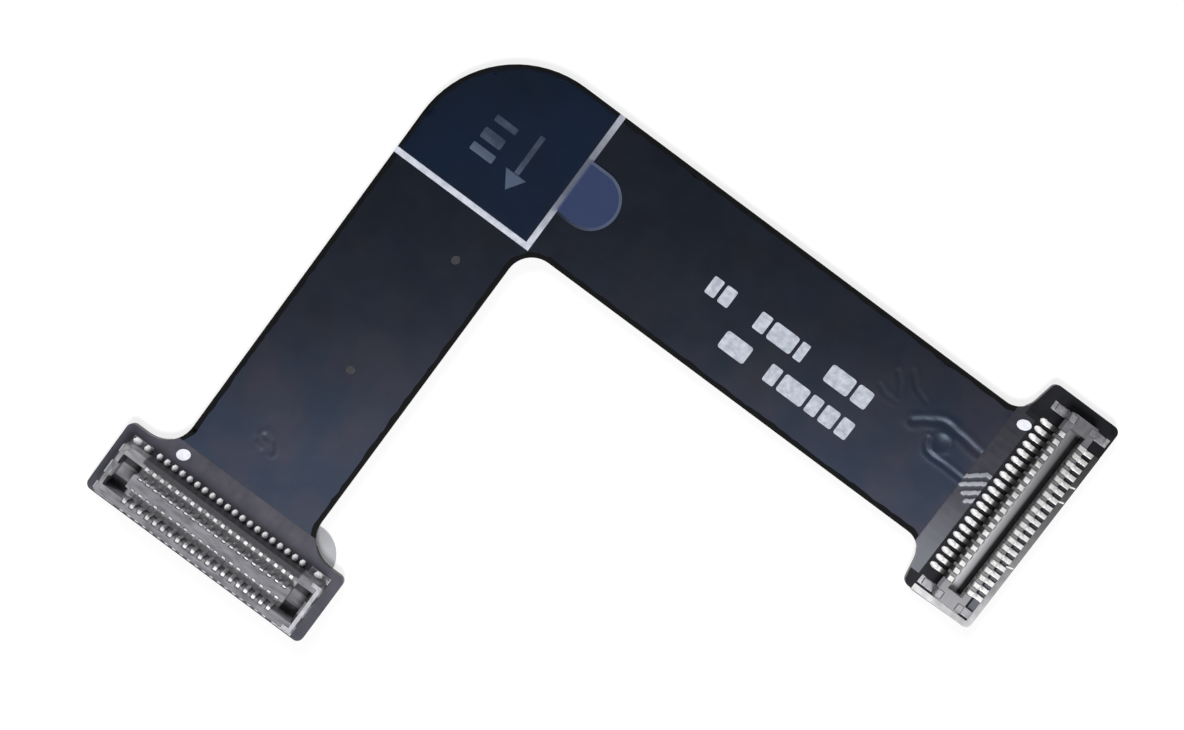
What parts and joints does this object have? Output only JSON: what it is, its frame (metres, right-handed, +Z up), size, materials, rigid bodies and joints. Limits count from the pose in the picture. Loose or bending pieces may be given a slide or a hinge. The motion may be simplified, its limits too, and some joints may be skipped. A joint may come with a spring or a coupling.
{
  "type": "flat flex cable",
  "caption": "L-shaped flexible printed cable joining two boards, with a fine-pitch board-to-board receptacle at one end and a header at the other.",
  "frame": {"origin": "bottom centre of the whole part's box, on the surface that the liners rest on", "axes": "+X along the arm that carries the header, +Y back along the arm that carries the receptacle, +Z up, the way both connectors face"},
  "size_m": [0.0338, 0.0282, 0.0015],
  "materials": {
    "black_coverlay": "satin black polyimide coverlay",
    "shield_film": "satin black shielding film",
    "tinned_land": "dull tinned copper",
    "moulded_housing": "dark grey moulded liquid crystal polymer, matt",
    "plated_contact": "bright plated copper alloy",
    "nail_metal": "bright plated copper alloy",
    "stiffener": "dark glass-epoxy sheet",
    "adhesive": "milky double-sided adhesive",
    "clear_liner": "clear release film, slightly milky",
    "white_ink": "matt white printing ink",
    "blue_liner": "translucent blue release film"
  },
  "bodies": {
    "root": {"flex_circuit": "black_coverlay", "shield_film": "shield_film", "receptacle_pads": "tinned_land", "header_pads": "tinned_land", "receptacle_housing": "moulded_housing", "header_housing": "moulded_housing", "receptacle_contacts_cable_side": "plated_contact", "receptacle_contacts_outer_side": "plated_contact", "header_contacts_cable_side": "plated_contact", "header_contacts_outer_side": "plated_contact", "receptacle_nail_left": "nail_metal", "receptacle_nail_right": "nail_metal", "header_nail_upper": "nail_metal", "header_nail_lower": "nail_metal", "receptacle_stiffener": "stiffener", "header_stiffener": "stiffener", "receptacle_back_adhesive": "adhesive", "header_back_adhesive": "adhesive", "corner_adhesive": "adhesive", "receptacle_back_liner": "clear_liner", "header_back_liner": "clear_liner", "corner_liner": "blue_liner"}
  },
  "joints": []
}
